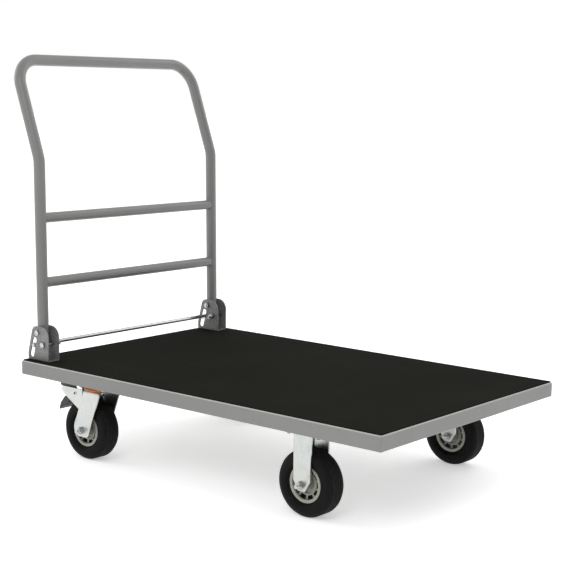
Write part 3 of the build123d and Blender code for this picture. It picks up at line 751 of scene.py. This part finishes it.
def boltPiece(node, values):
    shapes = []
    for points in islandsOf(node):
        low, high, axis = readSolid(points, True)
        centre = (low + high) / 2
        others = [k for k in range(3) if k != axis]

        def reachOf(point):
            return math.hypot(*(point[k] - centre[k] for k in others))
        flats = max(reachOf(point) for point in points) / values["corner"]
        radius = max(reachOf(point) for point in points if reachOf(point) < flats * values["shankLimit"])
        headPoints = [point[axis] for point in points if reachOf(point) > flats * values["headLimit"]]
        way = 1 if max(headPoints) > centre[axis] else -1
        seat = min(headPoints) if way > 0 else max(headPoints)
        height = max(headPoints) - min(headPoints)
        length = (high - low)[axis] - height
        place = fastenerFrame(axis, way, seat, centre, chance.uniform(0, math.pi / 3))
        for shape in (headShape(flats, height, values), shankShape(radius, length, values)):
            shape.transform(place)
            shapes.append(shape)
    piece = addPiece(node + "_fine", merged(shapes), node, 30.0)
    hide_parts(node)


def nutPiece(node, values):
    shapes = []
    for points in islandsOf(node):
        low, high, axis = readSolid(points, False)
        centre = (low + high) / 2
        others = [k for k in range(3) if k != axis]
        reaches = [math.hypot(*(point[k] - centre[k] for k in others)) for point in points]
        shape = headShape(max(reaches) / values["corner"], (high - low)[axis], values, min(reaches))
        shape.transform(fastenerFrame(axis, 1, low[axis], centre, chance.uniform(0, math.pi / 3)))
        shapes.append(shape)
    piece = addPiece(node + "_fine", merged(shapes), node, 30.0)
    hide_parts(node)


for node in boltNodes:
    boltPiece(node, boltFine)
for node in nutNodes:
    nutPiece(node, boltFine)
print("fasteners made:", len(boltNodes) + len(nutNodes), "kinds")

# Springs under the foot rod: a coil on each stop bolt with a leg that carries the rod.
springFine = {"wire": 0.0009, "turns": 2.6, "clear": 0.0003, "perTurn": 28, "legSteps": 8,
              "around": 14, "hold": 1.3}


def springPieces(values):
    rodLow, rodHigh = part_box("release_rod")
    rod = (rodLow + rodHigh) / 2
    rodRadius = (rodHigh.z - rodLow.z) / 2
    bolts = islandsOf("stop_bolts")
    for points in islandsOf("release_springs"):
        low, high = readSolid(points, False)[:2]
        side = 1 if low.y + high.y > 0 else -1
        bolt = [island for island in bolts if (island[0].y > 0) == (side > 0)][0]
        boltLow, boltHigh = readSolid(bolt, True)[:2]
        stop = (boltLow + boltHigh) / 2
        coilRadius = (high.x - stop.x) - values["wire"]
        toRod = Vector((rod.x - stop.x, 0, rod.z - stop.z)).normalized()
        under = Vector((-toRod.z, 0, toRod.x))
        if under.z > 0:
            under = -under
        width = high.y - low.y - 2 * values["wire"]
        nearY = low.y + values["wire"] if side > 0 else high.y - values["wire"]
        reach = math.hypot(rod.x - stop.x, rod.z - stop.z)
        path = []
        count = int(values["turns"] * values["perTurn"])
        for step in range(count + 1):
            turn = 2 * math.pi * values["turns"] * (1 - step / count)
            along = nearY + side * width * (1 - step / count)
            outward = under * math.cos(turn) - toRod * math.sin(turn)
            path.append(Vector((stop.x, along, stop.z)) + outward * coilRadius)
        legDrop = rodRadius + values["clear"] + values["wire"]
        for step in range(1, values["legSteps"] + 1):
            share = step / values["legSteps"]
            drop = coilRadius + (legDrop - coilRadius) * share
            path.append(Vector((stop.x, nearY, stop.z)) + toRod * reach * share + under * drop)
        piece = addPiece("release_spring_" + ("left" if side > 0 else "right"),
                         wire(path, values["wire"], values["around"]), "release_springs", 40.0, False)
        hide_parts("release_springs")
        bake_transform(piece)


springPieces(springFine)
print("springs wound")

# Stage and light.
stageSet = {"size": 60.0, "shade": (0.96, 0.96, 0.96), "glow": 0.42, "sky": 1.0, "behind": 0.2}
lightSet = {
    "key": {"place": (1.6, -3.6, 3.4), "size": 2.4, "power": 56.0},
    "fill": {"place": (-3.4, -1.4, 2.4), "size": 2.6, "power": 26.0},
    "rim": {"place": (0.4, 3.6, 2.8), "size": 2.6, "power": 30.0},
}
aimHeight = 0.4


def makeStage(values):
    floorFinish = Finish("floor")
    tone = floorFinish.between(floorFinish.noise(0.7, 2.0), 0.3, 0.7)
    colour = floorFinish.blend(tone * 0.05, values["shade"], (0.9, 0.9, 0.9))
    floorFinish.feed({"Base Color": colour, "Roughness": 0.9, "Specular IOR Level": 0.1,
                      "Emission Color": (1.0, 1.0, 1.0, 1.0), "Emission Strength": values["glow"]})
    half = values["size"] / 2
    mesh = bpy.data.meshes.new("floor")
    mesh.from_pydata([(-half, -half, 0), (half, -half, 0), (half, half, 0), (-half, half, 0)], [],
                     [(0, 1, 2, 3)])
    mesh.materials.append(floorFinish.material)
    floor = bpy.data.objects.new("floor", mesh)
    bpy.context.scene.collection.objects.link(floor)


def makeWorld(values):
    world = bpy.data.worlds.new("studio")
    world.use_nodes = True
    bpy.context.scene.world = world
    sky = Shader(world.node_tree)
    way = sky.node("ShaderNodeTexCoord", out="Generated")
    toCamera = tuple(towardsCamera(cameraSet))
    facing = sky.node("ShaderNodeVectorMath", {"operation": "DOT_PRODUCT"}, {0: way, 1: toCamera},
                      "Value")
    shade = sky.between(facing, 0.1, 0.85, values["sky"], values["behind"])
    colour = sky.node("ShaderNodeCombineColor", None, {0: shade, 1: shade, 2: shade})
    light = sky.node("ShaderNodeBackground", None, {"Color": colour, "Strength": 1.0})
    sky.node("ShaderNodeOutputWorld", None, {"Surface": light})


def makeLights(values):
    for name, row in values.items():
        data = bpy.data.lights.new(name, "AREA")
        data.shape = "DISK"
        data.size = row["size"]
        data.energy = row["power"]
        lamp = bpy.data.objects.new(name, data)
        bpy.context.scene.collection.objects.link(lamp)
        lamp.location = row["place"]
        away = Vector(row["place"]) - Vector((0, 0, aimHeight))
        lamp.rotation_euler = away.to_track_quat("Z", "Y").to_euler()


makeStage(stageSet)
makeWorld(stageSet)
makeLights(lightSet)
bpy.context.scene.view_settings.view_transform = "Standard"
print("stage and lights set")
